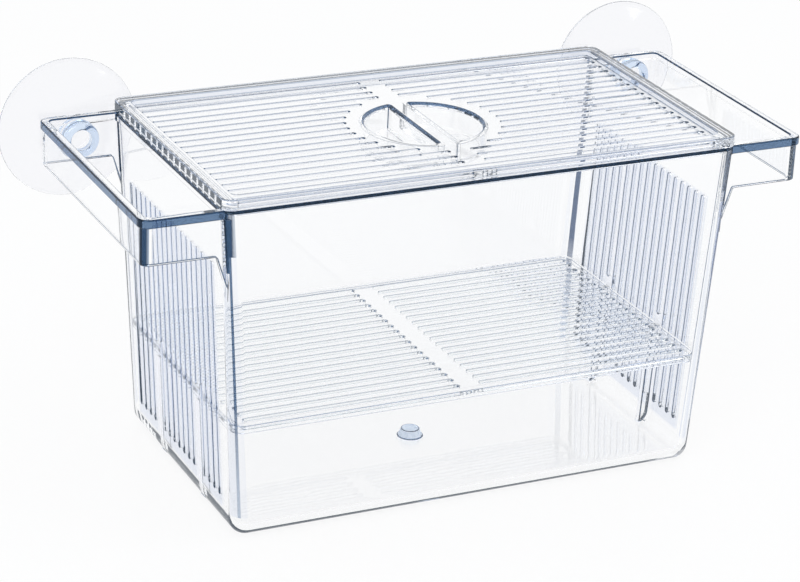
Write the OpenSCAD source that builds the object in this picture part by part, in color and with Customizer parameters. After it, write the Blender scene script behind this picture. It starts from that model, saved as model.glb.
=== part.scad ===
// Hang-on fish breeding box: a clear moulded tank with an open wing frame at each
// end, a slotted lid with two finger wells, a slotted tray on four ribs, and two
// suction cups in the wings' rear walls.
// The origin is the centre of the tank's flat underside. +X runs along the box,
// +Y points at the aquarium glass and +Z is up. All sizes are in millimetres.

/* [Tank] */
// Height of the tank from its underside to its rim
tank_h = 122; // [116:1:130]
// Outside length of the tank at its rim, without the flanges
tank_l = 192.8; // [191:0.2:194]
// Outside width of the tank at its rim
tank_w = 106.6; // [106:0.2:108]
// How far each end wall leans in from the rim to the underside
end_lean = 6.2; // [4:0.2:7]
// How far the front and the back wall each lean in
side_lean = 1.2; // [0.2:0.2:1.6]
// Thickness of the tank's walls
wall_t = 2; // [1.6:0.1:2.2]
// Thickness of the tank's floor
floor_t = 2.2; // [1.8:0.1:2.6]
// Radius of the upright outside corners
corner_r = 4; // [3:0.5:5]
// Radius of the rounded edge round the underside
foot_r = 6; // [5:0.5:7]
// Height of the flange along each end of the rim, and of the bead round the wings
flange_h = 3; // [2:0.5:3]
// How far the flange stands out from the end walls
flange_out = 0.6; // [0.4:0.1:1]

/* [Drain slots in the end walls] */
// Number of slots in each end wall, an odd number
drain_count = 17; // [13:2:17]
// Distance from slot to slot
drain_pitch = 4.8; // [4.6:0.1:5]
// Width of a slot
drain_w = 1.8; // [1.2:0.1:2.2]
// Height of the slots' lower ends
drain_low = 12; // [9:0.5:14]
// Distance from the rim down to the slots' upper ends
drain_drop = 23; // [20:1:30]

/* [Tray] */
// Height of the tray's underside above the tank's underside
tray_z = 39.5; // [30:0.5:45]
// Thickness of the tray's slotted plate
tray_t = 2; // [1.6:0.1:2.4]
// Height of the tray's edge
tray_edge_h = 3; // [2.6:0.1:4]
// Gap between the tray and the tank's walls
tray_gap = 0.5; // [0.4:0.1:1]
// Number of slots across the tray, an odd number
tray_slots = 19; // [15:2:19]
// Distance from slot to slot
tray_pitch = 5; // [4.6:0.1:5]
// Width of a slot
tray_slot_w = 2; // [1.4:0.1:2.2]

/* [Wings] */
// Overall length over both wings
wing_span = 250; // [244:1:256]
// Height of the wings' walls
wing_h = 16.5; // [15:0.5:20]
// Thickness of the wings' walls
wing_t = 2.2; // [1.8:0.1:2.6]
// How far the wings' walls are set back from the tank's front and rear walls
wing_setback = 2.1; // [1.6:0.1:2.2]
// How far the bead stands out along the wings' top edge
bead_out = 0.8; // [0.4:0.1:1.2]

/* [Lid] */
// Length of the lid
lid_l = 194; // [193:1:196]
// Width of the lid
lid_w = 107.2; // [107:0.2:109]
// Height of the lid's rim
lid_h = 4; // [3.6:0.1:5]
// Thickness of the slotted panel
panel_t = 2; // [1.6:0.1:2.4]
// Width of the rim
lid_rim_w = 5; // [4:0.5:5.5]
// Number of slots across the lid, an even number
lid_slots = 18; // [14:2:18]
// Distance from slot to slot
lid_pitch = 5.4; // [5:0.1:5.4]
// Width of a slot
lid_slot_w = 1.6; // [1.2:0.1:2]
// Radius of the plain disc round the finger wells
disc_r = 27.6; // [27:0.2:30]
// Radius of the circle that the finger wells fill
well_r = 21; // [20:0.5:23]
// Width of the grip bar between the wells, and of the plain bar across the lid
grip_w = 8; // [7:0.5:10]
// Depth of the wells below the panel's upper face
well_depth = 9; // [7:0.5:10]

/* [Suction cups] */
// Diameter of the cup at its lip
cup_d = 51.4; // [44:0.2:56]
// Distance from the tank's centre to each cup's axis
cup_x = 111; // [108:0.5:112]
// Distance from the tank's rim down to the cups' axes
cup_drop = 7.7; // [7.6:0.1:8.8]
// Diameter of the neck
neck_d = 8.9; // [8:0.1:9.4]
// Outside diameter of the ring-shaped head
head_d = 13.2; // [12:0.2:13.4]

/* [Hidden] */
$fn = 64;
hull_fn = 32;
over = 1;                      // how far a cutter runs past what it cuts
sink = 0.4;                    // how far a rib or boss is sunk in what carries it
clear_blue = [0.80, 0.88, 0.95, 0.45];
cup_clear = [0.90, 0.93, 0.96, 0.60];

inner_r = corner_r - wall_t / 2;
inner_foot_r = foot_r - floor_t / 2;
rim_slice = 0.1;               // thickness of the slice that ends a tapered block
rib_at = 4;                    // the slot position, from the middle, that a rib takes
rib_w = 2.6;
rib_in = 3.2;                  // how far a rib reaches into the box
slot_above_tray = 3;           // plain wall between the tray and a slot above a rib
boss_low_r = 4.7;              // gate boss on the floor
boss_top_r = 3.3;
boss_h = 3;
boss_dish_r = 2.4;
boss_dish = 1;

wing_w = tank_w - 2 * wing_setback;
wing_l = wing_span - 2 * bead_out;
wing_r = 3;
wing_root_x = tank_l / 2 - corner_r;
gusset_h = 11;
gusset_out = 2.6;
cup_z = tank_h - cup_drop;
neck_r = neck_d / 2;
neck_play = 0.05;              // running clearance round the neck

tray_end_x = half_l(tray_z) - wall_t - tray_gap;
tray_side_y = half_w(tray_z) - wall_t - tray_gap;
tray_l = 2 * tray_end_x;
tray_w = 2 * tray_side_y;
tray_r = 4;
tray_edge_w = 1.6;
tray_margin = 4;               // plain strip at the tray's ends

lid_r = 4;
lid_inner_r = 2.5;
pocket_l = lid_l - 2 * lid_rim_w;
pocket_w = lid_w - 2 * lid_rim_w;
lid_margin = 1.6;              // plain strip between the slots' ends and the rim
lip_gap = 0.4;                 // gap between the locating lip and the tank
lip_t = 1.4;
lip_h = 2.4;
well_wall = 1.6;

head_h = 2.8;                  // height of the head's straight side
head_base_t = 1.2;
head_hollow_r = 3.7;
head_edge_r = (head_d / 2 - head_hollow_r) / 2;
collar_gap = 0.3;              // play between the head, the wall and the collar
collar_r = 6;
collar_t = 1.5;
cup_r = cup_d / 2;
cup_depth = 7.2;
cup_t = 1.2;
lip_land = 1.4;                // flat ring at the cup's lip
cup_dome_r = (cup_r * cup_r + cup_depth * cup_depth) / (2 * cup_depth);

// Half the outside length and width of the tank at a height z
function half_l(z) = tank_l / 2 - end_lean * (tank_h - z) / tank_h;
function half_w(z) = tank_w / 2 - side_lean * (tank_h - z) / tank_h;

// Flat plate with upright rounded corners, centred on the Z axis
module rounded_plate(length, width, height, radius) {
    linear_extrude(height)
        union() {
            square([length - 2 * radius, width], center = true);
            square([length, width - 2 * radius], center = true);
            for (sx = [-1, 1], sy = [-1, 1])
                translate([sx * (length / 2 - radius), sy * (width / 2 - radius)])
                    circle(radius);
        }
}

// Slot along X with round ends, through a plate of the given depth
module slot_x(x1, x2, width, depth) {
    translate([(x1 + x2) / 2, 0, depth / 2])
        cube([x2 - x1 - width, width, depth], center = true);
    for (x = [x1 + width / 2, x2 - width / 2])
        translate([x, 0, 0])
            cylinder(h = depth, d = width);
}

// Tapered block with round upright corners and a round edge underneath
module tapered_block(low_l, low_w, low_r, top_l, top_w, top_r, z1, z2) {
    hull() {
        for (sx = [-1, 1], sy = [-1, 1]) {
            translate([sx * (low_l / 2 - low_r), sy * (low_w / 2 - low_r), z1])
                rotate_extrude($fn = hull_fn)
                    polygon(concat([[0, 0]],
                        [for (a = [0 : 15 : 90]) [low_r * sin(a), low_r * (1 - cos(a))]],
                        [[0, low_r]]));
            translate([sx * (top_l / 2 - top_r), sy * (top_w / 2 - top_r), z2 - rim_slice])
                cylinder(h = rim_slice, r = top_r, $fn = hull_fn);
        }
    }
}

// Outside of the tank
module tank_outside() {
    tapered_block(2 * half_l(0), 2 * half_w(0), foot_r, tank_l, tank_w, corner_r, 0, tank_h);
}

// The room inside the tank, open at the top
module tank_inside() {
    top = tank_h + over;
    tapered_block(2 * (half_l(floor_t) - wall_t), 2 * (half_w(floor_t) - wall_t), inner_foot_r,
        2 * (half_l(top) - wall_t), 2 * (half_w(top) - wall_t), inner_r, floor_t, top);
}

// Everything of one height band that lies beyond the tank's ends
module beyond_ends(z1, z2) {
    for (sx = [-1, 1])
        translate([sx * (wing_root_x + wing_span / 2), 0, (z1 + z2) / 2])
            cube([wing_span, tank_w, z2 - z1], center = true);
}

// Both open wing frames with the bead along their top edge
module wings() {
    low = tank_h - wing_h;
    bead_z = tank_h - flange_h;
    difference() {
        intersection() {
            union() {
                translate([0, 0, low])
                    rounded_plate(wing_l, wing_w, wing_h, wing_r);
                translate([0, 0, bead_z])
                    rounded_plate(wing_span, wing_w + 2 * bead_out, flange_h, wing_r + bead_out);
            }
            beyond_ends(low - over, tank_h + over);
        }
        translate([0, 0, low - over])
            rounded_plate(wing_l - 2 * wing_t, wing_w - 2 * wing_t, wing_h + 2 * over, wing_r - 1);
    }
    for (sx = [-1, 1], sy = [-1, 1])
        wing_gusset(sx, sy);
}

// Tapered web that runs down the tank's corner under a wing's wall
module wing_gusset(sx, sy) {
    z = tank_h - wing_h;
    face = half_l(z);
    translate([0, sy * (wing_w / 2 - wing_t / 2) + wing_t / 2, 0])
        rotate([90, 0, 0])
            linear_extrude(wing_t)
                polygon([[sx * (wing_root_x - over), z + over], [sx * (face + gusset_out), z + over],
                    [sx * (face + gusset_out), z], [sx * (half_l(z - gusset_h) - sink), z - gusset_h],
                    [sx * (wing_root_x - over), z - gusset_h]]);
}

// Upright slot with round ends, cut along X through an end wall
module upright_slot(x, y, low, top) {
    depth = wall_t + end_lean + 2 * over;
    translate([x, y, (low + top) / 2])
        cube([depth, drain_w, top - low - drain_w], center = true);
    for (z = [low + drain_w / 2, top - drain_w / 2])
        translate([x - depth / 2, y, z])
            rotate([0, 90, 0])
                cylinder(h = depth, d = drain_w);
}

// The drain slots of both end walls. A slot above a rib starts above the tray
module drain_slots() {
    last = (drain_count - 1) / 2;
    top = tank_h - drain_drop;
    middle = (half_l(drain_low) + half_l(top) - wall_t) / 2;
    for (sx = [-1, 1], k = [-last : last])
        upright_slot(sx * middle, k * drain_pitch,
            abs(k) == rib_at ? tray_z + tray_edge_h + slot_above_tray : drain_low, top);
}

// Upright ribs on the end walls that the tray lies on
module tray_ribs() {
    low = floor_t - sink;
    for (sx = [-1, 1], sy = [-1, 1])
        translate([0, sy * rib_at * drain_pitch + rib_w / 2, 0])
            rotate([90, 0, 0])
                linear_extrude(rib_w)
                    polygon([
                        [sx * (half_l(low) - wall_t - rib_in), low],
                        [sx * (half_l(low) - wall_t + sink), low],
                        [sx * (half_l(tray_z) - wall_t + sink), tray_z],
                        [sx * (half_l(tray_z) - wall_t - rib_in), tray_z]]);
}

// Small moulding gate boss in the middle of the floor, with a shallow dish on top
module gate_boss() {
    difference() {
        translate([0, 0, floor_t - sink])
            cylinder(h = boss_h + sink, r1 = boss_low_r, r2 = boss_top_r);
        translate([0, 0, floor_t + boss_h - boss_dish])
            cylinder(h = boss_dish + over, r = boss_dish_r);
    }
}

// Clear moulded tank with its flanges, wings, drain slots, ribs and gate boss
module tank() {
    color(clear_blue) {
        difference() {
            union() {
                tank_outside();
                translate([0, 0, tank_h - flange_h])
                    rounded_plate(tank_l + 2 * flange_out, tank_w, flange_h, corner_r);
                wings();
            }
            tank_inside();
            drain_slots();
            for (sx = [-1, 1])
                translate([sx * cup_x, wing_w / 2 + bead_out + over, cup_z])
                    rotate([90, 0, 0])
                        cylinder(h = wing_t + bead_out + 2 * over, r = neck_r + neck_play);
        }
        tray_ribs();
        gate_boss();
    }
}

// The slots of one slotted plate, in two halves with a plain bar between them
module slot_rows(count, pitch, width, bar, end_x, depth) {
    last = (count - 1) / 2;
    for (sx = [-1, 1], k = [-last : last])
        translate([0, k * pitch, 0])
            slot_x(sx > 0 ? bar / 2 : -end_x, sx > 0 ? end_x : -bar / 2, width, depth);
}

// Outline of the two finger wells: a disc cut in half by the grip bar
module well_outline(radius, grip) {
    difference() {
        circle(radius);
        square([grip, 3 * radius], center = true);
    }
}

// Clear lid: raised rim, recessed slotted panel, finger wells and locating lip
module lid() {
    panel_top = tank_h + panel_t;
    well_floor = panel_top - well_depth;
    color(clear_blue)
        difference() {
            union() {
                translate([0, 0, tank_h])
                    rounded_plate(lid_l, lid_w, lid_h, lid_r);
                translate([0, 0, tank_h - lip_h])
                    locating_lip();
                translate([0, 0, well_floor - well_wall])
                    linear_extrude(well_depth + well_wall - panel_t / 2)
                        well_outline(well_r + well_wall, grip_w - 2 * well_wall);
            }
            translate([0, 0, panel_top])
                rounded_plate(pocket_l, pocket_w, lid_h, lid_inner_r);
            translate([0, 0, well_floor])
                linear_extrude(well_depth + over)
                    well_outline(well_r, grip_w);
            difference() {
                translate([0, 0, tank_h - over])
                    slot_rows(lid_slots, lid_pitch, lid_slot_w, grip_w,
                        pocket_l / 2 - lid_margin, panel_t + 2 * over);
                translate([0, 0, tank_h - 2 * over])
                    cylinder(h = panel_t + 4 * over, r = disc_r);
            }
        }
}

// Low wall under the lid that keeps it in place in the tank's mouth
module locating_lip() {
    length = 2 * (half_l(tank_h - lip_h) - wall_t - lip_gap);
    width = 2 * (half_w(tank_h - lip_h) - wall_t - lip_gap);
    difference() {
        rounded_plate(length, width, lip_h + panel_t / 2, inner_r);
        translate([0, 0, -over])
            rounded_plate(length - 2 * lip_t, width - 2 * lip_t, lip_h + over, inner_r - lip_t);
    }
}

// Clear slotted tray with a thicker edge, lying on the four ribs
module tray() {
    color(clear_blue)
        translate([0, 0, tray_z])
            difference() {
                rounded_plate(tray_l, tray_w, tray_edge_h, tray_r);
                translate([0, 0, -over])
                    rounded_plate(tray_l - 2 * tray_edge_w, tray_w - 2 * tray_edge_w,
                        tray_edge_h - tray_t + over, tray_r - tray_edge_w);
                translate([0, 0, -over])
                    slot_rows(tray_slots, tray_pitch, tray_slot_w, grip_w,
                        tray_l / 2 - tray_margin, tray_edge_h + 2 * over);
            }
}

// Half section of a suction cup. X is the distance from its axis and Y runs from the
// head towards the glass, with zero on the inside face of the wing's rear wall
module cup_section() {
    collar_y = wing_t + bead_out + collar_gap;
    dome_top = collar_y + collar_t;
    lip_y = dome_top + cup_depth;
    head_y = -collar_gap - head_h;
    // Neck, and the collar behind the wall
    translate([0, -collar_gap - head_base_t])
        square([neck_r, dome_top + collar_gap + head_base_t]);
    translate([0, collar_y])
        square([collar_r, collar_t + cup_t / 2]);
    // Head: a round-edged ring with a hollow middle on a thin base
    translate([0, -collar_gap - head_base_t])
        square([head_d / 2, head_base_t]);
    translate([head_hollow_r, head_y])
        square([head_d / 2 - head_hollow_r, head_h]);
    translate([head_d / 2 - head_edge_r, head_y])
        circle(head_edge_r);
    // Domed cup: a thin shell between two circles, with a flat ring at its lip
    intersection() {
        difference() {
            translate([0, dome_top + cup_dome_r])
                circle(cup_dome_r, $fn = 256);
            translate([0, dome_top + cup_dome_r + cup_t])
                circle(cup_dome_r, $fn = 256);
        }
        translate([0, dome_top - over])
            square([cup_r - lip_land / 2, lip_y - cup_t / 2 - dome_top + over]);
    }
    translate([cup_r - lip_land, lip_y - cup_t])
        square([lip_land, cup_t]);
}

// Clear soft suction cup with its axis at the given X
module suction_cup(x) {
    color(cup_clear)
        translate([x, wing_w / 2 - wing_t, cup_z])
            rotate([-90, 0, 0])
                rotate_extrude()
                    cup_section();
}

module left_suction_cup() {
    suction_cup(-cup_x);
}

module right_suction_cup() {
    suction_cup(cup_x);
}

tank();
lid();
tray();
left_suction_cup();
right_suction_cup();
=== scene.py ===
# %% [markdown]
# # A clear fish breeding box
#
# This lesson rebuilds a hang-on breeding box: a clear moulded tank with an open wing frame at
# each end, a slotted lid, a slotted tray that lies on four ribs, and two soft suction cups.
# Clear plastic has hardly any colour of its own. What the eye reads is its edges, so most of
# this lesson is about giving every wall its true thickness, its rounded edges and its slots.
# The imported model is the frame: each new piece stands exactly where its node stands.

# %% Load the frame and keep its box
import math

import bmesh
import bpy
from mathutils import Matrix, Vector


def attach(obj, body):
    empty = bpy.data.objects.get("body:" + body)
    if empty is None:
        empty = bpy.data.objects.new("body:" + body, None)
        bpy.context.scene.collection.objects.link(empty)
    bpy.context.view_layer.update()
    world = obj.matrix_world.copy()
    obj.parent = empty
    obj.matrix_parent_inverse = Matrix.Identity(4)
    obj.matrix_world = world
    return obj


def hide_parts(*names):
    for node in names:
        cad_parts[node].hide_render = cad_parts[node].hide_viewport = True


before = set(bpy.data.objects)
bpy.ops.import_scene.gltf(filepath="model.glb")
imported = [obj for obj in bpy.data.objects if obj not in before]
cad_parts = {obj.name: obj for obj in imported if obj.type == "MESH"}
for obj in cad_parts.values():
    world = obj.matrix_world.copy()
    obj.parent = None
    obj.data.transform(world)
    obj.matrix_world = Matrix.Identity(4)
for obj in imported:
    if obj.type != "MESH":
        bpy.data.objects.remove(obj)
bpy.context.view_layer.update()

# %% [markdown]
# ## Measures
#
# A mould maker works in millimetres, and so do the sums here. A mesh is brought to metres
# only when it is finished, because cutting and rounding small forms is more exact in numbers
# of this size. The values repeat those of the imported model.

# %% Measures of the tank, in millimetres
MM = 0.001
TANK_H, RIM_L, RIM_W = 122.0, 192.8, 106.6
END_LEAN, SIDE_LEAN = 6.2, 1.2
WALL, FLOOR = 2.0, 2.2
CORNER_R, FOOT_R = 4.0, 6.0
INNER_R, INNER_FOOT_R = 3.0, 4.9
FLANGE_H, FLANGE_OUT = 3.0, 0.6
WING_SPAN, WING_W, WING_H, WING_T, BEAD = 250.0, 102.4, 16.5, 2.2, 0.8
CUP_X, CUP_Z = 111.0, 114.3


def half_length(z):
    """Half the tank's outside length at height z."""
    return RIM_L / 2 - END_LEAN * (TANK_H - z) / TANK_H


def half_width(z):
    """Half the tank's outside width at height z."""
    return RIM_W / 2 - SIDE_LEAN * (TANK_H - z) / TANK_H


print("underside", 2 * half_length(0), "by", 2 * half_width(0), "mm")

# %% [markdown]
# ## Tools for moulded forms
#
# Every moulding here is a stack of rounded rectangles: the box, the lid, the tray and even a
# slot. One flat face with its four corners bevelled gives such a section, and bridging one
# ring of edges to the next gives the wall between them. A round foot is then only a few more
# sections, and the corner radius can change with the height, which one bevel could not do.

# %% A rounded rectangle as one face
ARC_STEPS, ROUND_STEPS = 8, 64
STACK_WELD, EDGE_WELD, POLE_WELD = 0.002, 0.004, 0.001
SQUARE_ON = math.radians(90)


def rounded_face(bm, length, width, radius, z):
    """Adds a flat rounded rectangle at height z and gives its face."""
    before = set(bm.faces)
    corners = bmesh.ops.create_grid(bm, x_segments=1, y_segments=1, size=0.5)["verts"]
    bmesh.ops.scale(bm, vec=(length, width, 1), verts=corners)
    bmesh.ops.translate(bm, vec=(0, 0, z), verts=corners)
    bmesh.ops.bevel(bm, geom=corners, offset=radius, offset_type="OFFSET", segments=ARC_STEPS,
                    profile=0.5, affect="VERTICES", material=-1)
    return (set(bm.faces) - before).pop()


# %% A solid through a stack of sections
def add_stack(bm, sections, place=Matrix.Identity(4), ring=False):
    """Adds a solid through sections of (length, width, radius, height). A ring has no ends."""
    before = set(bm.verts)
    loops = []
    for number, section in enumerate(sections):
        face = rounded_face(bm, *section)
        loops.append(list(face.edges))
        if ring or 0 < number < len(sections) - 1:
            bmesh.ops.delete(bm, geom=[face], context="FACES_ONLY")
    if ring:
        loops.append(loops[0])
    for low, high in zip(loops, loops[1:]):
        bmesh.ops.bridge_loops(bm, edges=low + high)
    made = [v for v in bm.verts if v not in before]
    bmesh.ops.transform(bm, matrix=place, verts=made)
    bmesh.ops.remove_doubles(bm, verts=made, dist=STACK_WELD)


# %% A bar with a given outline, and strips between slots
def draw_out(bm, face, along):
    """Draws a face out into a prism."""
    made = bmesh.ops.extrude_face_region(bm, geom=[face])["geom"]
    end = [v for v in made if isinstance(v, bmesh.types.BMVert)]
    bmesh.ops.translate(bm, vec=along, verts=end)


def add_bar(bm, outline, y_from, y_to):
    """Adds a bar along Y from the points of its outline in XZ."""
    face = bm.faces.new([bm.verts.new((x, y_from, z)) for x, z in outline])
    draw_out(bm, face, (0, y_to - y_from, 0))


def everything(bm):
    """All that a plane may cut."""
    return bm.verts[:] + bm.edges[:] + bm.faces[:]


def score(bm, count, pitch):
    """Cuts faces into strips, one for each of a row of slots across Y, so none grows ragged."""
    for k in range(count + 1):
        bmesh.ops.bisect_plane(bm, geom=everything(bm), plane_no=(0, 1, 0),
                               plane_co=(0, (k - count / 2) * pitch, 0))


# %% Turning a bmesh into an object, and joining or cutting objects
def as_object(bm, name):
    """Closes a bmesh into an object whose faces point outwards."""
    bmesh.ops.recalc_face_normals(bm, faces=bm.faces)
    mesh = bpy.data.meshes.new(name)
    bm.to_mesh(mesh)
    bm.free()
    thing = bpy.data.objects.new(name, mesh)
    bpy.context.scene.collection.objects.link(thing)
    return thing


def settle(thing):
    """Replaces an object's mesh with what its modifiers make of it."""
    bpy.context.view_layer.update()
    graph = bpy.context.evaluated_depsgraph_get()
    made = bpy.data.meshes.new_from_object(thing.evaluated_get(graph))
    old, name = thing.data, thing.data.name
    thing.modifiers.clear()
    thing.data = made
    bpy.data.meshes.remove(old)
    made.name = name


def open_edges(thing):
    """How many edges have fewer or more than two faces, which a closed solid hasn't."""
    bm = bmesh.new()
    bm.from_mesh(thing.data)
    count = sum(len(e.link_faces) != 2 for e in bm.edges)
    bm.free()
    return count


def combine(thing, other, operation):
    """Joins another solid to this one, or cuts it out, and removes the other."""
    step = thing.modifiers.new(operation.lower(), "BOOLEAN")
    step.operation, step.solver, step.object = operation, "EXACT", other
    settle(thing)
    bpy.data.objects.remove(other)
    print(operation, thing.name, len(thing.data.polygons), "faces,", open_edges(thing), "open")


def solid(name, build):
    """An object built by one function into a fresh bmesh."""
    bm = bmesh.new()
    build(bm)
    return as_object(bm, name)


# %% [markdown]
# ## Materials
#
# Clear pieces share three effects, and each is a node group. The first is the faint
# unevenness that a moulded face has: a roughness and a height. The other two put out a tint of
# painted shade that changes with the height over the underside, or as a rounded corner turns
# away.
# The shaders stay in the materials.

# %% Node groups with named sockets
NUMBER, COLOUR = "NodeSocketFloat", "NodeSocketColor"


def new_group(name, given, put):
    """A node group with its sockets, and the nodes that stand for them inside."""
    group = bpy.data.node_groups.new(name, "ShaderNodeTree")
    for way, sockets in (("INPUT", given), ("OUTPUT", put)):
        for title, kind in sockets.items():
            group.interface.new_socket(title, in_out=way, socket_type=kind)
    return group, group.nodes.new("NodeGroupInput"), group.nodes.new("NodeGroupOutput")


def new_node(tree, kind, **settings):
    """Adds a shader node with its settings."""
    node = tree.nodes.new("ShaderNode" + kind)
    for setting, value in settings.items():
        setattr(node, setting, value)
    return node


# %% The faint flow marks of a moulded face
FLOW_DETAIL, FLOW_SCALE = 2.0, 45.0


def flow_marks_group():
    """A roughness and a height that vary over the surface."""
    group, given, put = new_group(
        "flow_marks", {"Scale": NUMBER, "Roughness": NUMBER, "Spread": NUMBER},
        {"Roughness": NUMBER, "Height": NUMBER})
    links = group.links
    place = new_node(group, "TexCoord")
    noise = new_node(group, "TexNoise")
    noise.inputs["Detail"].default_value = FLOW_DETAIL
    spread = new_node(group, "Math", operation="MULTIPLY_ADD")
    links.new(place.outputs["Object"], noise.inputs["Vector"])
    links.new(given.outputs["Scale"], noise.inputs["Scale"])
    links.new(noise.outputs["Fac"], spread.inputs[0])
    links.new(given.outputs["Spread"], spread.inputs[1])
    links.new(given.outputs["Roughness"], spread.inputs[2])
    links.new(spread.outputs[0], put.inputs["Roughness"])
    links.new(noise.outputs["Fac"], put.inputs["Height"])
    return group


# %% Tints that change with the height, or as a corner turns
def blend_tints(group, value, given, first, second, put):
    """Ends a group whose tint goes from the first colour to the second as a value rises."""
    links = group.links
    share = new_node(group, "MapRange")
    blend = new_node(group, "Mix", data_type="RGBA")
    links.new(value, share.inputs["Value"])
    links.new(given.outputs["From"], share.inputs["From Min"])
    links.new(given.outputs["To"], share.inputs["From Max"])
    links.new(share.outputs["Result"], blend.inputs["Factor"])
    links.new(given.outputs[first], blend.inputs["A"])
    links.new(given.outputs[second], blend.inputs["B"])
    links.new(blend.outputs["Result"], put.inputs["Tint"])


def rising_tint_group():
    """A tint that changes between two heights over the underside."""
    group, given, put = new_group(
        "rising_tint", {"Low Tint": COLOUR, "High Tint": COLOUR, "From": NUMBER, "To": NUMBER},
        {"Tint": COLOUR})
    place = new_node(group, "TexCoord")
    axes = new_node(group, "SeparateXYZ")
    group.links.new(place.outputs["Object"], axes.inputs["Vector"])
    blend_tints(group, axes.outputs["Z"], given, "Low Tint", "High Tint", put)
    return group


def turning_tint_group():
    """A tint that changes as a corner turns to an end wall, or, if Halfway is 1, to halfway."""
    group, given, put = new_group(
        "turning_tint", {"Flat Tint": COLOUR, "Turned Tint": COLOUR, "From": NUMBER,
                         "To": NUMBER, "Halfway": NUMBER}, {"Tint": COLOUR})
    links = group.links
    place = new_node(group, "TexCoord")
    axes = new_node(group, "SeparateXYZ")
    other = new_node(group, "Mix", data_type="FLOAT")
    other.inputs["A"].default_value = 1.0
    product = new_node(group, "Math", operation="MULTIPLY")
    size = new_node(group, "Math", operation="ABSOLUTE")
    links.new(place.outputs["Normal"], axes.inputs["Vector"])
    links.new(given.outputs["Halfway"], other.inputs["Factor"])
    links.new(axes.outputs["Y"], other.inputs["B"])
    links.new(axes.outputs["X"], product.inputs[0])
    links.new(other.outputs["Result"], product.inputs[1])
    links.new(product.outputs[0], size.inputs[0])
    blend_tints(group, size.outputs[0], given, "Flat Tint", "Turned Tint", put)
    return group


FLOW_MARKS, RISING_TINT, TURNING_TINT = (
    flow_marks_group(), rising_tint_group(), turning_tint_group())
print("groups", FLOW_MARKS.name, RISING_TINT.name, TURNING_TINT.name)

# %% [markdown]
# Clear plastic is glass whose colour is on its surfaces. A wall tints all that is seen through
# it. The blue and navy of the edges is painted shade, standing for what refraction and
# reflection give them. Most edges use a near finish, which paints it only on the side that faces
# the viewer, so that the edges behind don't show through as dark lines. A faint blue glow is
# painted light: it stands for the light that the plastic pipes along itself.

# %% Clear plastic
PLASTIC_IOR, VINYL_IOR = 1.49, 1.42
WAVE_STRENGTH = 0.04
PIPED_LIGHT, PIPED_STRENGTH = (0.42, 0.66, 1.0, 1), 0.006
# The near finishes tint their reflections blue: a painted reflection colour.
PAINTED_SHINE_TINT = (0.35, 0.55, 0.8, 1)
CLEAR_COLOUR = (254, 254, 254)
FADE_FROM, FADE_TO = 15.0, 50.0


def seen_through(colour):
    """Base colour of a clear surface that turns white into this colour, given from 0 to 255."""
    linear = [((c / 255 + 0.055) / 1.055) ** 2.4 for c in colour]
    return (*(c ** 2 for c in linear), 1)


def place_group(tree, group, values):
    """Puts a node group into a material with its own values."""
    node = new_node(tree, "Group", node_tree=group)
    for title, value in values.items():
        node.inputs[title].default_value = value
    return node


def near_tint(tree, colour, low, turn):
    """A painted shade colour on the side that faces the viewer, and nearly none on the far side.

    It fades to a low colour towards the foot, or to a flat one where a corner isn't turned."""
    side = new_node(tree, "NewGeometry")
    tint = new_node(tree, "Mix", data_type="RGBA")
    tree.links.new(side.outputs["Backfacing"], tint.inputs["Factor"])
    tint.inputs["A"].default_value = seen_through(colour)
    tint.inputs["B"].default_value = seen_through(CLEAR_COLOUR)
    if low:
        rising = place_group(tree, RISING_TINT, {
            "Low Tint": seen_through(low), "High Tint": seen_through(colour),
            "From": FADE_FROM * MM, "To": FADE_TO * MM})
        tree.links.new(rising.outputs["Tint"], tint.inputs["A"])
    if turn:
        turning = place_group(tree, TURNING_TINT, {
            "Flat Tint": seen_through(turn["flat"]), "Turned Tint": seen_through(colour),
            "From": turn["start"], "To": turn["end"], "Halfway": turn["halfway"]})
        tree.links.new(turning.outputs["Tint"], tint.inputs["A"])
    return tint.outputs["Result"]


def clear_material(name, colour, roughness=0.0, spread=0.02, ior=PLASTIC_IOR, near=False,
                   clear=1.0, glow=PIPED_STRENGTH, low=None, turn=None):
    """Clear moulded plastic. Its colour tints what is seen through it, or only the near side. On
    the edge finishes that colour is painted shade, and the faint glow is painted light.
    """
    material = bpy.data.materials.new(name)
    material.use_nodes = True
    tree = material.node_tree
    shader = tree.nodes["Principled BSDF"]
    shader.inputs["Base Color"].default_value = seen_through(colour)
    shader.inputs["IOR"].default_value = ior
    shader.inputs["Transmission Weight"].default_value = clear
    shader.inputs["Emission Color"].default_value = PIPED_LIGHT
    shader.inputs["Emission Strength"].default_value = glow
    if near:
        shader.inputs["Specular Tint"].default_value = PAINTED_SHINE_TINT
        tree.links.new(near_tint(tree, colour, low, turn), shader.inputs["Base Color"])
    marks = place_group(tree, FLOW_MARKS, {
        "Scale": FLOW_SCALE, "Roughness": roughness, "Spread": spread})
    tree.links.new(marks.outputs["Roughness"], shader.inputs["Roughness"])
    waves = new_node(tree, "Bump")
    waves.inputs["Strength"].default_value = WAVE_STRENGTH
    waves.inputs["Distance"].default_value = MM
    tree.links.new(marks.outputs["Height"], waves.inputs["Height"])
    tree.links.new(waves.outputs["Normal"], shader.inputs["Normal"])
    return material
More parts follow.
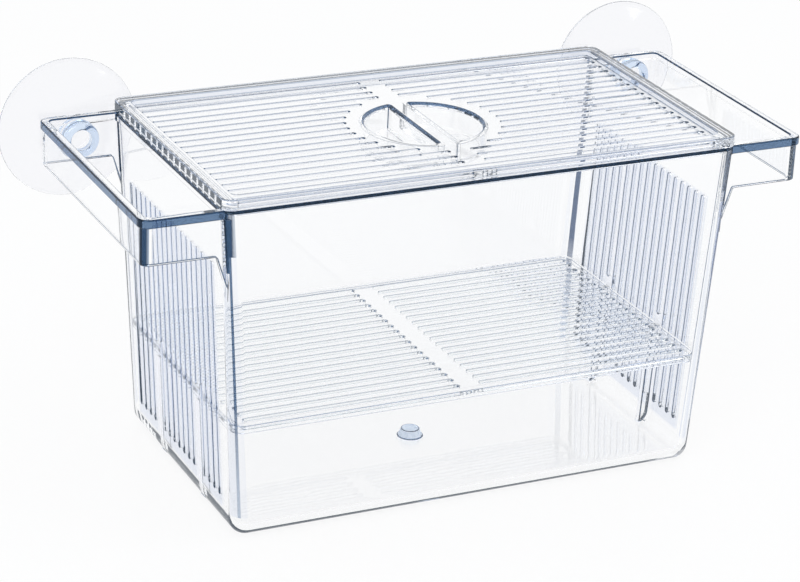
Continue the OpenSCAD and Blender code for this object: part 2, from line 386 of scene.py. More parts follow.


# %% The finishes of the hard plastic, in the order of their material slots
# Apart from clear_plastic, these colours are painted shade: the blue and navy that refraction
# and reflection give the edges, rims, corners, slots and end walls of clear plastic. The gate
# mark's glow is painted light.
FINISHES = {
    "clear_plastic": {"colour": CLEAR_COLOUR},
    "edge_painted_shade": {"colour": (48, 72, 102), "near": True},
    "pale_edge": {"colour": (188, 197, 212)},
    "rim_band": {"colour": (100, 124, 154), "near": True},
    "joint_painted_shade": {"colour": (24, 38, 56), "near": True},
    "slot_edge": {"colour": (198, 203, 213), "near": True},
    "slot_wall": {"colour": (246, 247, 249)},
    "drain_edge": {"colour": (236, 240, 247), "near": True},
    "drain_wall": {"colour": (238, 241, 247)},
    "corner_line": {"colour": (96, 116, 144), "near": True},
    "tray_slot_edge": {"colour": (198, 203, 210), "near": True},
    "tray_slot_wall": {"colour": (251, 252, 252)},
    "end_wall_tint": {"colour": (248, 249, 252)},
    "thin_line": {"colour": (96, 116, 142)},
    "drain_inner_edge": {"colour": (92, 106, 134), "near": True},
    "corner_tint": {"colour": (226, 232, 241)},
    # The gate mark's glow is painted light that keeps the boss pale.
    "matt_gate_mark_painted_glow": {"colour": (255, 255, 255), "roughness": 0.4, "spread": 0.1,
                       "clear": 0.1, "glow": 0.3},
    "inner_corner": {"colour": (88, 104, 132), "near": True, "low": (226, 231, 240)},
    "outer_corner": {"colour": (100, 120, 148), "near": True, "low": (190, 200, 214)},
    "wing_post": {"colour": (44, 68, 98), "near": True,
                  "turn": {"flat": (176, 192, 212), "start": 0.1, "end": 0.42, "halfway": 1}},
    "rim_column": {"colour": (52, 76, 106), "near": True,
                   "turn": {"flat": (226, 233, 243), "start": 0.05, "end": 0.5, "halfway": 0}},
}
(CLEAR, EDGE, PALE_EDGE, BAND, JOINT_SHADE, SLOT_EDGE, SLOT_WALL, DRAIN_EDGE, DRAIN_WALL,
 CORNER_LINE, TRAY_SLOT_EDGE, TRAY_SLOT_WALL, END_TINT, THIN_LINE, DRAIN_INNER_EDGE,
 CORNER_TINT, GATE, INNER_CORNER, OUTER_CORNER, WING_POST, RIM_COLUMN) = range(len(FINISHES))
plastic = [clear_material(name, **finish) for name, finish in FINISHES.items()]
soft = clear_material("soft_clear_vinyl", (252, 252, 253), 0.08, 0.06, VINYL_IOR)
soft_head = clear_material("soft_blue_head", (220, 233, 249), 0.05, 0.05, VINYL_IOR)
print("finishes", ", ".join(FINISHES))

# %% [markdown]
# ## Rounded edges that carry the blue
#
# On clear plastic each edge works as a tiny lens: light that entered elsewhere leaves there,
# after a long way through the material, so it comes out blue, and on the thickest rims almost
# navy. That blue is painted in as shade: the strip that a Bevel modifier makes along an edge is
# given a material of its own here, in a painted shade colour. Its width can then follow the real
# radius: wide on a rim, narrow on a slot.

# %% Edge weights and the finishing modifiers
SHARP = math.radians(32)
WIDEST, STRIP_STEPS = 1.2, 2


def finish_edges(thing, radius_at, face_finish, strip_finish):
    """Rounds sharp edges and puts the finishes on, all by rules of the place in millimetres.

    The finishes are mostly painted shade. The Bevel modifier marks its strips with the joint
    shade's finish, and then their rule is used."""
    thing.data.materials.clear()
    for finish in plastic:
        thing.data.materials.append(finish)
    bm = bmesh.new()
    bm.from_mesh(thing.data)
    bmesh.ops.remove_doubles(bm, verts=bm.verts, dist=EDGE_WELD)
    bmesh.ops.dissolve_degenerate(bm, edges=bm.edges, dist=EDGE_WELD)
    loose = [e for e in bm.edges if not e.link_faces]
    bmesh.ops.delete(bm, geom=loose, context="EDGES")
    for face in bm.faces:
        face.material_index = face_finish(face.calc_center_median(), face.normal)
    weights = bm.edges.layers.float.new("bevel_weight_edge")
    count = 0
    for edge in bm.edges:
        if len(edge.link_faces) == 2 and edge.calc_face_angle() > SHARP:
            middle = (edge.verts[0].co + edge.verts[1].co) / 2
            edge[weights] = radius_at(middle) / WIDEST
            count += 1
    bmesh.ops.scale(bm, vec=(MM, MM, MM), verts=bm.verts)
    bm.to_mesh(thing.data)
    bm.free()
    for face in thing.data.polygons:
        face.use_smooth = True
    thing.data.set_sharp_from_angle(angle=SHARP)
    rounding = thing.modifiers.new("rounded edges", "BEVEL")
    rounding.limit_method, rounding.width = "WEIGHT", WIDEST * MM
    rounding.segments, rounding.profile = STRIP_STEPS, 0.5
    rounding.material, rounding.use_clamp_overlap = JOINT_SHADE, False
    rounding.miter_outer = "MITER_ARC"
    thing.modifiers.new("even shading", "WEIGHTED_NORMAL").keep_sharp = True
    settle(thing)
    for face in thing.data.polygons:
        if face.material_index == JOINT_SHADE:
            face.material_index = strip_finish(face.center / MM)
    print(thing.name, count, "sharp edges,", len(thing.data.polygons), "faces,",
          open_edges(thing), "open edges")


def beyond(p, length, width, radius):
    """How far a point lies outside a rounded rectangle about the origin, seen from above."""
    over_x = abs(p.x) - length / 2 + radius
    over_y = abs(p.y) - width / 2 + radius
    return math.hypot(max(over_x, 0), max(over_y, 0)) + min(max(over_x, over_y), 0) - radius


# %% [markdown]
# ## The tank
#
# One moulding holds the box, both wing frames, the webs under them, the drain slots, the ribs
# and the gate boss. The box is a stack of sections whose foot is a quarter circle. It is
# built solid, the wings are joined on, and only then the room inside is cut out, so that no
# wall of a wing is left standing in the room.

# %% The solid box and the room inside
TIP_R, ARC_SHARE = 0.06, 0.999
WING_LOW = TANK_H - WING_H
TINT_FOOT, TINT_TOP = 8.0, 99.5
DRAIN_PITCH, DRAIN_W, DRAIN_LOW, DRAIN_TOP, DRAIN_LAST = 4.8, 1.8, 12.0, 99.0, 8
DRAINS = 2 * DRAIN_LAST + 1
CUT_PAST = 5


def shell_sections(low_l, low_w, foot, low_z, top_l, top_w, top_r, top_z):
    """Sections of a leaning box with a round foot. Each corner keeps a hair of straight edge."""
    stack = []
    for step in range(ARC_STEPS + 1):
        turn = math.pi / 2 * step / ARC_STEPS
        out = foot * math.sin(turn)
        stack.append((low_l - 2 * foot + 2 * out, low_w - 2 * foot + 2 * out,
                      max(out, TIP_R) * ARC_SHARE, low_z + foot * (1 - math.cos(turn))))
    stack[0] = (stack[0][0] + 2 * TIP_R, stack[0][1] + 2 * TIP_R, TIP_R, low_z)
    stack.append((top_l, top_w, top_r, top_z))
    return stack


def split_walls(bm):
    """Splits the walls into a strip for each drain, and where the finish changes with height."""
    score(bm, DRAINS, DRAIN_PITCH)
    for z in (TINT_FOOT, TINT_TOP, WING_LOW):
        bmesh.ops.bisect_plane(bm, geom=everything(bm), plane_co=(0, 0, z),
                               plane_no=(0, 0, 1))


def build_box(bm):
    add_stack(bm, shell_sections(2 * half_length(0), 2 * half_width(0), FOOT_R, 0,
                                 RIM_L, RIM_W, CORNER_R, TANK_H))
    split_walls(bm)


def build_room(bm):
    top = TANK_H + CUT_PAST
    add_stack(bm, shell_sections(2 * (half_length(FLOOR) - WALL), 2 * (half_width(FLOOR) - WALL),
                                 INNER_FOOT_R, FLOOR, 2 * (half_length(top) - WALL),
                                 2 * (half_width(top) - WALL), INNER_R, top))
    split_walls(bm)


tank = solid("tank_shell", build_box)
print("solid box", len(tank.data.polygons), "faces")

# %% [markdown]
# The flange is a plate that stands out only past the end walls. Each wing frame is a ring
# with a bead round its top, and a plane cuts the ring off inside the tank's end wall. A form
# that is joined on sinks a little into the wall, because two faces in one plane join badly.

# %% Flange, wing frames and the webs under them
BEAD_Z = TANK_H - FLANGE_H
WING_L = WING_SPAN - 2 * BEAD
WING_ROOT_X = 94.5
WING_R, WING_OPENING_R, BEAD_STEP = 3.0, 2.0, 0.01
WEB_DEEP, WEB_OUT, WEB_OVERLAP = 11.0, 2.6, 1
FLANGE_SHY = 0.6
SINK = 0.4


def build_flange(bm):
    add_stack(bm, [(RIM_L + 2 * FLANGE_OUT, RIM_W - FLANGE_SHY, CORNER_R, z)
                   for z in (BEAD_Z, TANK_H)])


def build_wing(bm, side):
    frame_size, bead_size = (WING_L, WING_W), (WING_SPAN, WING_W + 2 * BEAD)
    opening = (WING_L - 2 * WING_T, WING_W - 2 * WING_T, WING_OPENING_R)
    add_stack(bm, [(*frame_size, WING_R, WING_LOW), (*frame_size, WING_R, BEAD_Z - BEAD_STEP),
                   (*bead_size, WING_R + BEAD, BEAD_Z), (*bead_size, WING_R + BEAD, TANK_H),
                   (*opening, TANK_H), (*opening, WING_LOW)], ring=True)
    bmesh.ops.bisect_plane(bm, geom=everything(bm), plane_co=(side * WING_ROOT_X, 0, 0),
                           plane_no=(side, 0, 0), clear_inner=True)
    bmesh.ops.holes_fill(bm, edges=[e for e in bm.edges if e.is_boundary], sides=0)


def build_webs(bm):
    root, out, top = WING_ROOT_X, half_length(WING_LOW) + WEB_OUT, WING_LOW + WEB_OVERLAP
    tip, foot = half_length(WING_LOW - WEB_DEEP) - SINK, WING_LOW - WEB_DEEP
    for side in (-1, 1):
        outline = [(side * root, top), (side * out, top), (side * out, WING_LOW),
                   (side * tip, foot), (side * (tip - SINK), foot)]
        for y in (-WING_W / 2, WING_W / 2 - WING_T):
            add_bar(bm, outline, y, y + WING_T)


for name, build in (("flange", build_flange), ("left_wing", lambda bm: build_wing(bm, -1)),
                    ("right_wing", lambda bm: build_wing(bm, 1)), ("webs", build_webs)):
    combine(tank, solid(name, build), "UNION")
    print("joined the", name)

# %% [markdown]
# The drain slots have round ends, so a slot cutter is the same kind of stack, with a corner
# radius of half its width, laid on its side. Slots above a rib start above the tray.

# %% The room, the drain slots and the holes for the suction cups
RIB_AT, RIB_W, RIB_IN = 4, 2.6, 3.2
TRAY_Z, TRAY_EDGE = 39.5, 3.0
SLOT_OVER_TRAY = 3
NECK_HOLE_R, NECK_CUT = 4.5, 8


def build_drains(bm):
    middle = (half_length(DRAIN_LOW) + half_length(DRAIN_TOP) - WALL) / 2
    for side in (-1, 1):
        for k in range(-DRAIN_LAST, DRAIN_LAST + 1):
            low = TRAY_Z + TRAY_EDGE + SLOT_OVER_TRAY if abs(k) == RIB_AT else DRAIN_LOW
            upright = Matrix.Translation((side * middle, k * DRAIN_PITCH, (low + DRAIN_TOP) / 2))
            upright @= Matrix.Rotation(SQUARE_ON, 4, "Y")
            add_stack(bm, [(DRAIN_TOP - low, DRAIN_W, DRAIN_W / 2, z)
                           for z in (-CUT_PAST, CUT_PAST)], upright)


def build_neck_holes(bm):
    for side in (-1, 1):
        along = Matrix.Translation((side * CUP_X, WING_W / 2, CUP_Z))
        along @= Matrix.Rotation(SQUARE_ON, 4, "X")
        bmesh.ops.create_cone(bm, cap_ends=True, segments=ROUND_STEPS, radius1=NECK_HOLE_R,
                              radius2=NECK_HOLE_R, depth=NECK_CUT, matrix=along)


for name, build in (("room", build_room), ("drains", build_drains),
                    ("neck_holes", build_neck_holes)):
    combine(tank, solid(name, build), "DIFFERENCE")
    print("cut the", name)


# %% Ribs that carry the tray, and the gate boss in the floor
BOSS_FOOT_R, BOSS_TOP_R, BOSS_H = 4.7, 3.3, 3.4
BOSS_DISH = ((0.9, 0.5), (0.8, 0.3))


def build_ribs(bm):
    low = FLOOR - SINK
    for side in (-1, 1):
        outline = [(side * (half_length(z) - WALL + far), z) for z, far in
                   ((low, -RIB_IN), (low, SINK), (TRAY_Z, SINK), (TRAY_Z, -RIB_IN))]
        for y in (-RIB_AT * DRAIN_PITCH, RIB_AT * DRAIN_PITCH):
            add_bar(bm, outline, y - RIB_W / 2, y + RIB_W / 2)


def build_boss(bm):
    bmesh.ops.create_cone(bm, cap_ends=True, segments=ROUND_STEPS, radius1=BOSS_FOOT_R,
                          radius2=BOSS_TOP_R, depth=BOSS_H,
                          matrix=Matrix.Translation((0, 0, FLOOR - SINK + BOSS_H / 2)))
    top = max(bm.faces, key=lambda f: f.calc_center_median().z)
    for inset, drop in BOSS_DISH:
        bmesh.ops.inset_region(bm, faces=[top], thickness=inset, use_even_offset=True)
        bmesh.ops.translate(bm, vec=(0, 0, -drop), verts=top.verts)


for name, build in (("ribs", build_ribs), ("boss", build_boss)):
    combine(tank, solid(name, build), "UNION")
print("tank", len(tank.data.polygons), "faces")

# %% [markdown]
# Where a face is and which way it faces decide its finish, which on most tinted faces is painted
# shade. A rule takes a point in millimetres and a normal, and its first line that fits counts.
# The first numbers below are shares of a normal of length 1: what passes for level, rounded,
# endwise, steep or halfway round a corner.

# %% What the rules look at
LEVEL, ROUNDED, ENDWISE, STEEP, MID_CORNER = 0.5, 0.1, 0.7, 0.75, 0.62
SLOT_ENDWISE = 0.6
WING_START = RIM_L / 2 + FLANGE_OUT + 0.5
GATE_R = BOSS_FOOT_R + 0.5
CORNER_FROM = 20
FOOT_LINE_LOW, FOOT_LINE_HIGH = 0.4, 1.5


def off_axis(p):
    """Distance of a point from the upright axis in the middle of the box."""
    return math.hypot(p.x, p.y)


def off_wall(p):
    """Distance of a point from the middle of an end wall's thickness."""
    return abs(abs(p.x) - (half_length(p.z) - WALL / 2))


def in_drains(p):
    """True in an end wall, at the heights of its slots."""
    return DRAIN_LOW - 1 < p.z < DRAIN_TOP + 1 and off_wall(p) < WALL / 2 + 0.3


def on_rim(p, depth):
    """True on the rim between the wings, down to a depth from its outline."""
    return abs(p.x) < WING_START and beyond(p, RIM_L, RIM_W, CORNER_R) > -depth


# %% Round the tank's edges
WING_TOP_ROUND, BEAD_ROUND, WING_FOOT_ROUND = 0.5, 0.3, 0.4
DRAIN_ROUND, TANK_ROUND = 0.25, 0.35


def tank_radius(p):
    """Radius of the tank's rounding at a point of an edge."""
    if p.z > TANK_H - 0.5:
        return WIDEST if on_rim(p, 1) else WING_TOP_ROUND
    if p.z > WING_LOW - 0.5:
        return BEAD_ROUND if p.z > BEAD_Z - 0.5 else WING_FOOT_ROUND
    return DRAIN_ROUND if in_drains(p) else TANK_ROUND


# The tinted finishes these rules give are painted shade: the blue and navy that refraction and
# reflection give the bead, posts, corners, end walls, drains, rim and the line along the foot.
# The gate mark's glow is painted light.
def wing_face(p, n):
    """Finish of the wings' upright faces: the bead's outside, the corner posts, or clear."""
    outside = beyond(p, WING_L, WING_W, WING_R)
    if p.z > BEAD_Z and outside > 0.3:
        return BAND
    is_post = min(abs(n.x), abs(n.y)) > ROUNDED and outside > -0.4
    return WING_POST if p.z < BEAD_Z and is_post else CLEAR


def corner_face(p, n):
    """Finish of the box's upright corners, which differs inside, outside and by the height."""
    room_l, room_w = 2 * (half_length(p.z) - WALL), 2 * (half_width(p.z) - WALL)
    if beyond(p, room_l, room_w, INNER_R) < 0.5:
        return INNER_CORNER if abs(n.x) > STEEP and abs(n.y) > 0.2 else CLEAR
    if p.z > WING_LOW:
        return RIM_COLUMN
    if p.z > TINT_TOP and abs(n.x) > ENDWISE:
        return EDGE
    if min(abs(n.x), abs(n.y)) > MID_CORNER:
        return OUTER_CORNER
    return CORNER_TINT if abs(n.x) > STEEP else END_TINT


def tank_face(p, n):
    """Finish of the tank's faces: slot walls, the foot's line, the gate, upright ones, clear."""
    if in_drains(p) and off_wall(p) < WALL / 2 - 0.2:
        return DRAIN_WALL
    if FOOT_LINE_LOW < p.z < FOOT_LINE_HIGH and n.z < 0:
        return CORNER_LINE
    if off_axis(p) < GATE_R and p.z > FLOOR + 0.01:
        return GATE
    if abs(n.z) > LEVEL:
        return CLEAR
    if abs(p.x) > WING_START and p.z > WING_LOW:
        return wing_face(p, n)
    on_corner = (min(abs(n.x), abs(n.y)) > ROUNDED and p.z > CORNER_FROM
                 and abs(p.y) > half_width(p.z) - WALL - INNER_R)
    if on_corner:
        return corner_face(p, n)
    in_slots = TINT_FOOT < p.z < TINT_TOP and abs(p.y) < DRAINS * DRAIN_PITCH / 2
    return END_TINT if in_slots and abs(n.x) > ENDWISE else CLEAR


def tank_strip(p):
    """Finish of the tank's rounded edges: rim, wings, drains, gate, foot and the rest."""
    if p.z > TANK_H - 1 and on_rim(p, WIDEST):
        return JOINT_SHADE if abs(p.y) > RIM_W / 2 - 1.5 else CORNER_LINE
    if in_drains(p):
        outer = abs(p.x) > half_length(p.z) - WALL / 2
        return DRAIN_EDGE if outer else DRAIN_INNER_EDGE
    on_wing = abs(p.x) > WING_START - 1.5 and p.z < BEAD_Z - 1
    if on_wing or off_axis(p) < GATE_R:
        return THIN_LINE
    return DRAIN_EDGE if p.z < 10 else EDGE


finish_edges(tank, tank_radius, tank_face, tank_strip)

# %% [markdown]
# ## The lid
#
# The lid is a plate with a raised rim. Its sections run in one go from the panel's underside,
# down and up round the low wall that locates the lid in the tank's mouth, out to the rim, up,
# and down again into the recess. The two finger wells are half discs with the grip bar
# between them: each is a circle that a plane cuts off beside the bar, drawn out to its depth.

# %% Measures of the lid, and its plate
LID_L, LID_W, LID_H, PANEL_T, RIM = 194.0, 107.2, 4.0, 2.0, 5.0
LID_SLOTS, LID_PITCH, LID_SLOT_W = 18, 5.4, 1.6
LID_R, POCKET_R = 4.0, 2.5
LID_SLOT_END = LID_L / 2 - RIM - 1.6
PLAY = 0.03
LID_Z = TANK_H + PLAY
LIP_H, LIP_T, LIP_GAP = 2.4, 1.4, 0.4
WELL_R, WELL_WALL, WELL_DEPTH, GRIP, DISC_R = 21.0, 1.6, 9.0, 8.0, 27.6
WELL_FOOT_R, WELL_SHELL_FOOT_R, WELL_ZONE_R = 1.0, 1.2, WELL_R + 3
PANEL_TOP = TANK_H + PANEL_T
LIP_L = 2 * (half_length(TANK_H - LIP_H) - WALL - LIP_GAP)
LIP_W = 2 * (half_width(TANK_H - LIP_H) - WALL - LIP_GAP)


def build_lid(bm):
    inner = (LIP_L - 2 * LIP_T, LIP_W - 2 * LIP_T, INNER_R - LIP_T)
    outer = (LIP_L, LIP_W, INNER_R)
    plate = (LID_L, LID_W, LID_R)
    pocket = (LID_L - 2 * RIM, LID_W - 2 * RIM, POCKET_R)
    add_stack(bm, [(*inner, LID_Z), (*inner, TANK_H - LIP_H), (*outer, TANK_H - LIP_H),
                   (*outer, LID_Z), (*plate, LID_Z), (*plate, TANK_H + LID_H),
                   (*pocket, TANK_H + LID_H), (*pocket, PANEL_TOP)])
    score(bm, LID_SLOTS - 2, LID_PITCH)


lid = solid("lid_plate", build_lid)
print("lid plate", len(lid.data.polygons), "faces")


# %% The finger wells, and the slots that stop at the plain disc
WELL_STEPS, FOOT_STEPS, SAME_HEIGHT = 128, 4, 0.001


def add_half_discs(bm, radius, bar, low, high, foot):
    """Adds two D shapes with a bar's width between them, rounded round the foot."""
    for side in (-1, 1):
        before = set(bm.verts)
        disc = bmesh.ops.create_circle(bm, cap_ends=True, segments=WELL_STEPS,
                                       radius=radius)["verts"]
        face = disc[0].link_faces[0]
        bmesh.ops.bisect_plane(bm, geom=disc + face.edges[:] + [face], plane_no=(side, 0, 0),
                               plane_co=(side * bar / 2, 0, 0), clear_inner=True)
        face = [f for f in bm.faces if not (set(f.verts) & before)][0]
        bmesh.ops.translate(bm, vec=(0, 0, low), verts=face.verts[:])
        draw_out(bm, face, (0, 0, high - low))
        rim = [e for e in bm.edges if not (set(e.verts) & before)
               and all(abs(v.co.z - low) < SAME_HEIGHT for v in e.verts)]
        bmesh.ops.bevel(bm, geom=rim, offset=foot, offset_type="OFFSET", segments=FOOT_STEPS,
                        profile=0.5, affect="EDGES", material=-1)


def add_slot_rows(bm, count, pitch, width, end_x, clear_r, low, high):
    """Adds slots in two halves. They stop at the plain bar, or at a plain disc round it."""
    for k in range(count):
        y = (k - (count - 1) / 2) * pitch
        start = max(GRIP / 2, math.sqrt(max(clear_r ** 2 - y ** 2, 0)))
        for side in (-1, 1):
            middle = Matrix.Translation((side * (start + end_x) / 2, y, 0))
            add_stack(bm, [(end_x - start, width, width / 2, z) for z in (low, high)], middle)


def build_well_walls(bm):
    add_half_discs(bm, WELL_R + WELL_WALL, GRIP - 2 * WELL_WALL,
                   PANEL_TOP - WELL_DEPTH - WELL_WALL, PANEL_TOP - PANEL_T / 2,
                   WELL_SHELL_FOOT_R)


def build_wells(bm):
    add_half_discs(bm, WELL_R, GRIP, PANEL_TOP - WELL_DEPTH, PANEL_TOP + 3, WELL_FOOT_R)


def build_lid_slots(bm):
    add_slot_rows(bm, LID_SLOTS, LID_PITCH, LID_SLOT_W, LID_SLOT_END, DISC_R, TANK_H - 2,
                  PANEL_TOP + 1)


combine(lid, solid("well_walls", build_well_walls), "UNION")
combine(lid, solid("wells", build_wells), "DIFFERENCE")
combine(lid, solid("lid_slots", build_lid_slots), "DIFFERENCE")
print("lid", len(lid.data.polygons), "faces")


# %% Round the lid's edges
WELL_ROUND, WELL_FOOT_ROUND, LID_RIM_ROUND, LID_ROUND = 0.9, 0.3, 0.4, 0.25
SLOT_TOP_ROUND, SLOT_FOOT_ROUND = 0.25, 0.2
SLOT_END_REACH = 0.8


def in_panel(p):
    """True within the slotted panel, inside the rim and outside the wells."""
    return (max(abs(p.x) - LID_L / 2, abs(p.y) - LID_W / 2) < -RIM - 0.4
            and off_axis(p) > WELL_ZONE_R and p.z < PANEL_TOP + 0.2)


def lid_radius(p):
    """Radius of the lid's rounding at a point of an edge."""
    at_top = p.z > PANEL_TOP - 0.5
    if off_axis(p) < WELL_ZONE_R:
        return WELL_ROUND if at_top else WELL_FOOT_ROUND
    if in_panel(p):
        return SLOT_TOP_ROUND if at_top else SLOT_FOOT_ROUND
    return LID_RIM_ROUND if p.z > PANEL_TOP + 0.5 else LID_ROUND


def lid_face(p, n):
    """Finish of the lid's faces: slot walls with painted shade, darker at their ends, the
    recess's side in a faint painted shade, or clear.
    """
    if abs(n.z) > LEVEL:
        return CLEAR
    if in_panel(p) and p.z > LID_Z:
        return EDGE if abs(n.x) > SLOT_ENDWISE else SLOT_WALL
    if p.z > PANEL_TOP and beyond(p, LID_L, LID_W, LID_R) < -1:
        return DRAIN_WALL
    return CLEAR


def lid_strip(p):
    """Finish of the lid's rounded edges, all painted shade: wells, slots with darker ends, or a
    pale rim.
    """
    if off_axis(p) < WELL_ZONE_R:
        return CORNER_LINE
    if not in_panel(p):
        return PALE_EDGE
    at_end = (abs(p.x) > LID_SLOT_END - SLOT_END_REACH or off_axis(p) < DISC_R + SLOT_END_REACH
              or abs(p.x) < GRIP / 2 + SLOT_END_REACH)
    return EDGE if at_end else SLOT_EDGE


finish_edges(lid, lid_radius, lid_face, lid_strip)

# %% [markdown]
# ## The tray
#
# The tray is a slotted plate with a thicker edge that hangs down round it. Fry fall through
# its slots into the lower room.

# %% The tray's plate and slots
TRAY_GAP = 0.5
TRAY_L = 2 * (half_length(TRAY_Z) - WALL - TRAY_GAP)
TRAY_W = 2 * (half_width(TRAY_Z) - WALL - TRAY_GAP)
TRAY_LOW, TRAY_RECESS = TRAY_Z + PLAY, 1
TRAY_R, TRAY_RECESS_R, TRAY_EDGE_T = 4.0, 2.4, 1.6
TRAY_SLOTS, TRAY_PITCH, TRAY_SLOT_W, TRAY_SLOT_END = 19, 5.0, 2.0, TRAY_L / 2 - 4
TRAY_ROUND = 0.3


def build_tray(bm):
    inner = (TRAY_L - 2 * TRAY_EDGE_T, TRAY_W - 2 * TRAY_EDGE_T, TRAY_RECESS_R)
    outer = (TRAY_L, TRAY_W, TRAY_R)
    add_stack(bm, [(*inner, TRAY_Z + TRAY_RECESS), (*inner, TRAY_LOW), (*outer, TRAY_LOW),
                   (*outer, TRAY_Z + TRAY_EDGE)])
    score(bm, TRAY_SLOTS, TRAY_PITCH)


def build_tray_slots(bm):
    add_slot_rows(bm, TRAY_SLOTS, TRAY_PITCH, TRAY_SLOT_W, TRAY_SLOT_END, 0, TRAY_Z - 1,
                  TRAY_Z + TRAY_EDGE + 1)


tray = solid("fry_tray", build_tray)
combine(tray, solid("tray_slots", build_tray_slots), "DIFFERENCE")


def tray_face(p, n):
    """Finish of the tray's faces: slot walls with painted shade, darker at their ends, or clear.
    """
    if abs(n.z) > LEVEL or beyond(p, TRAY_L, TRAY_W, TRAY_R) > -3:
        return CLEAR
    return CORNER_LINE if abs(n.x) > SLOT_ENDWISE else TRAY_SLOT_WALL


def tray_strip(p):
    """Finish of the tray's rounded edges, both painted shade: a pale outline, and its slots."""
    return PALE_EDGE if beyond(p, TRAY_L, TRAY_W, TRAY_R) > -1 else TRAY_SLOT_EDGE


finish_edges(tray, lambda p: TRAY_ROUND, tray_face, tray_strip)

# %% [markdown]
# ## The suction cups
#
# A suction cup is turned: a half section spun round its axis. The section below is a few
# vertices along the ring-shaped head, the neck, the collar, the outside of the dome, the flat
# ring at the lip and the hollow side. The head wears a bluer finish than the dome.

# %% The half section, and the spin
CUP_R, CUP_DEPTH, CUP_T = 25.7, 7.2, 1.2
CUP_STEPS, CUP_SHARP = 96, math.radians(50)
DOME_Y = 4.8
RING_MID, RING_R, RING_LOW = 5.15, 1.45, -3.1
DOME_R = (CUP_R ** 2 + CUP_DEPTH ** 2) / (2 * CUP_DEPTH)


def dome(radius, lift):
    """Height of the dome's outside over its top, at a distance from the axis."""
    return DOME_Y + lift + DOME_R - math.sqrt(DOME_R ** 2 - radius ** 2)


def cup_profile():
    """Points of (distance from the axis, height along it), from head to hollow."""
    head = [(0, -1.5), (RING_MID - RING_R, -1.5), (RING_MID - RING_R, RING_LOW)]
    head += [(RING_MID - RING_R * math.cos(a), RING_LOW - RING_R * math.sin(a))
             for a in (math.pi * n / 10 for n in range(1, 10))]
    head += [(RING_MID + RING_R, RING_LOW), (RING_MID + RING_R, -0.3), (4.45, -0.3)]
    collar = [(4.45, 3.3), (6.0, 3.3), (6.0, dome(6.0, 0) + 0.15)]
    outside = [(r, dome(r, 0)) for r in (8, 10, 12, 14, 16, 18, 20, 22, 23.5, 24.3)]
    lip = [(25.0, 10.95), (25.55, 11.1), (CUP_R, 11.5), (25.6, 11.85), (25.3, 12.0),
           (24.5, 12.0), (24.2, 11.9)]
    hollow = [(r, dome(r, CUP_T)) for r in (22.6, 21, 19, 17, 15, 13, 11, 9, 7, 5, 3, 1.5)]
    return head + collar + outside + lip + hollow + [(0, DOME_Y + CUP_T)]


def build_cup(bm, x):
    points = [bm.verts.new((r, 0, h)) for r, h in cup_profile()]
    edges = [bm.edges.new(pair) for pair in zip(points, points[1:])]
    bmesh.ops.spin(bm, geom=points + edges, cent=(0, 0, 0), axis=(0, 0, 1), dvec=(0, 0, 0),
                   angle=2 * math.pi, steps=CUP_STEPS, use_merge=True)
    bmesh.ops.remove_doubles(bm, verts=bm.verts, dist=POLE_WELD)
    place = Matrix.Translation((x, WING_W / 2 - WING_T, CUP_Z))
    bmesh.ops.transform(bm, matrix=place @ Matrix.Rotation(-SQUARE_ON, 4, "X"),
                        verts=bm.verts)


HEAD_TO_Y, HEAD_HOLLOW_R = WING_W / 2 - WING_T - 0.3, 3.75


def on_head(face, x):
    """True on the ring-shaped head, outside its hollow."""
    away = math.hypot(face.center.x - x * MM, face.center.z - CUP_Z * MM)
    return face.center.y < HEAD_TO_Y * MM and away > HEAD_HOLLOW_R * MM


cups = {}
for side, x in (("left", -CUP_X), ("right", CUP_X)):
    cup = solid(side + "_cup", lambda bm: build_cup(bm, x))
    cup.data.transform(Matrix.Scale(MM, 4))
    for face in cup.data.polygons:
        face.use_smooth = True
    cup.data.set_sharp_from_angle(angle=CUP_SHARP)
    for finish in (soft, soft_head):
        cup.data.materials.append(finish)
    for face in cup.data.polygons:
        face.material_index = int(on_head(face, x))
    cups[side] = cup
    print(cup.name, len(cup.data.polygons), "faces,", open_edges(cup), "open edges")

# %% Tell the frame what each piece is
PIECES = ((tank, "tank", "tank", "clear_shell"), (lid, "lid", "lid", "clear_lid"),
          (tray, "tray", "tray", "clear_tray"),
          (cups["left"], "left_cup", "left_suction_cup", "soft_clear"),
          (cups["right"], "right_cup", "right_suction_cup", "soft_clear"))
for thing, body, node, slot in PIECES:
    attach(thing, body)
    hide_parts(node)
    print(thing.name, "rides on", body)

# %% [markdown]
# ## Floor, light and camera
#
# Clear plastic needs something to show. Here it is a white world and a pale floor, which the
# camera sees as plain white, directly and through the plastic.

# %% The world
WHITE = (1.0, 1.0, 1.0, 1)
AMBIENT_COLOUR, AMBIENT_STRENGTH = (0.94, 0.97, 1.0, 1), 0.7


def seen_directly(tree):
    """1 for a ray from the camera, a mirror or clear plastic, and 0 for light on a surface."""
    path = new_node(tree, "LightPath")
    total = path.outputs["Is Camera Ray"]
    for name in ("Is Glossy Ray", "Is Transmission Ray"):
        add = new_node(tree, "Math", operation="ADD", use_clamp=True)
        tree.links.new(total, add.inputs[0])
        tree.links.new(path.outputs[name], add.inputs[1])
        total = add.outputs[0]
    return total


def mix_shaders(tree, share, first, second, out):
    """Ends a node tree with a mix of two shaders."""
    mix = new_node(tree, "MixShader")
    tree.links.new(share, mix.inputs["Fac"])
    tree.links.new(first.outputs[0], mix.inputs[1])
    tree.links.new(second.outputs[0], mix.inputs[2])
    tree.links.new(mix.outputs[0], tree.nodes[out].inputs["Surface"])


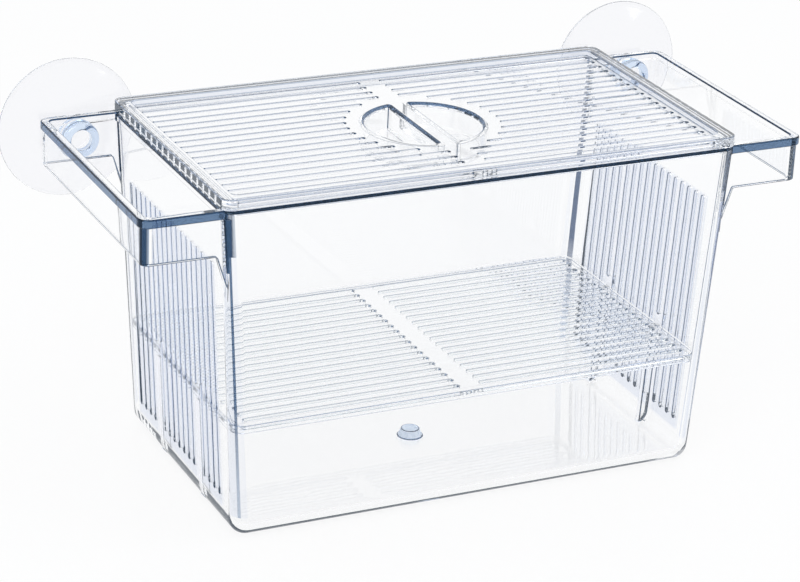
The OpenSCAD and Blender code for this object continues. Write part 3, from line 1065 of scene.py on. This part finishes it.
world = bpy.data.worlds.new("studio")
bpy.context.scene.world = world
world.use_nodes = True
tree = world.node_tree
ambient = tree.nodes["Background"]
ambient.inputs["Color"].default_value = AMBIENT_COLOUR
ambient.inputs["Strength"].default_value = AMBIENT_STRENGTH
backdrop = new_node(tree, "Background")
backdrop.inputs["Color"].default_value = WHITE
backdrop.inputs["Strength"].default_value = 1.0
mix_shaders(tree, seen_directly(tree), ambient, backdrop, "World Output")
print("world", world.name)

# %% The floor
FLOOR_REACH, FLOOR_DROP = 6.0, 0.0002
PAPER_COLOUR, PAPER_ROUGHNESS, PAPER_GLOW = (0.93, 0.94, 0.96, 1), 0.25, 0.9

bm = bmesh.new()
bmesh.ops.create_grid(bm, x_segments=1, y_segments=1, size=FLOOR_REACH)
bmesh.ops.translate(bm, vec=(0, 0, -FLOOR_DROP), verts=bm.verts)
floor = as_object(bm, "floor")
paper = bpy.data.materials.new("white_paper")
paper.use_nodes = True
tree = paper.node_tree
matt = tree.nodes["Principled BSDF"]
matt.inputs["Base Color"].default_value = PAPER_COLOUR
matt.inputs["Roughness"].default_value = PAPER_ROUGHNESS
glow = new_node(tree, "Emission")
glow.inputs["Color"].default_value = WHITE
share = new_node(tree, "Math", operation="MULTIPLY")
share.inputs[1].default_value = PAPER_GLOW
tree.links.new(seen_directly(tree), share.inputs[0])
mix_shaders(tree, share.outputs[0], matt, glow, "Material Output")
floor.data.materials.append(paper)
print("floor", 2 * FLOOR_REACH, "m across")


# %% Lamps
LAMPS = (("key", (-0.9, -0.9, 1.3), 10), ("fill", (1.1, -0.5, 1.0), 5))
LAMP_SIZE, LAMP_TARGET = 0.9, Vector((0, 0, 0.06))

for name, place, power in LAMPS:
    data = bpy.data.lights.new(name, "AREA")
    data.size, data.energy = LAMP_SIZE, power
    lamp = bpy.data.objects.new(name, data)
    lamp.location = place
    lamp.rotation_euler = (LAMP_TARGET - Vector(place)).to_track_quat("-Z", "Y").to_euler()
    bpy.context.scene.collection.objects.link(lamp)
    print("lamp", name, power, "W")

# %% The camera, at the photograph's viewing angle
YAW, RISE, ROLL = math.radians(-26.0), math.radians(22.93), math.radians(2.56)
FOCAL_PX, DISTANCE, SIDE_OFF, UP_OFF = 2884.0, 1040.0, 5.78, 3.35
AIM_Z, PICTURE_PX, SENSOR = 63, 800, 36

back = Vector((math.sin(YAW) * math.cos(RISE), -math.cos(YAW) * math.cos(RISE), math.sin(RISE)))
right = Vector((math.cos(YAW), math.sin(YAW), 0))
up = back.cross(right)
turned_right = right * math.cos(ROLL) + up * math.sin(ROLL)
turned_up = up * math.cos(ROLL) - right * math.sin(ROLL)
spot = Vector((0, 0, AIM_Z)) - SIDE_OFF * turned_right - UP_OFF * turned_up + DISTANCE * back
data = bpy.data.cameras.new("camera")
data.sensor_width, data.lens = SENSOR, FOCAL_PX * SENSOR / PICTURE_PX
data.clip_start, data.clip_end = 0.05, 30
camera = bpy.data.objects.new("camera", data)
camera.matrix_world = Matrix.Translation(spot * MM) @ Matrix(
    (turned_right, turned_up, back)).transposed().to_4x4()
bpy.context.scene.collection.objects.link(camera)
bpy.context.scene.camera = camera
print("camera at", tuple(round(c, 1) for c in spot), "mm, lens", round(data.lens, 1))

# %% Colour, and enough bounces for many clear walls behind each other
CLEAR_BOUNCES, MIRROR_BOUNCES, CUTOUT_BOUNCES = 40, 12, 16

scene = bpy.context.scene
scene.view_settings.view_transform = "Standard"
scene.cycles.max_bounces = CLEAR_BOUNCES
scene.cycles.transmission_bounces = CLEAR_BOUNCES
scene.cycles.glossy_bounces = MIRROR_BOUNCES
scene.cycles.transparent_max_bounces = CUTOUT_BOUNCES
print("bounces through clear walls", CLEAR_BOUNCES)
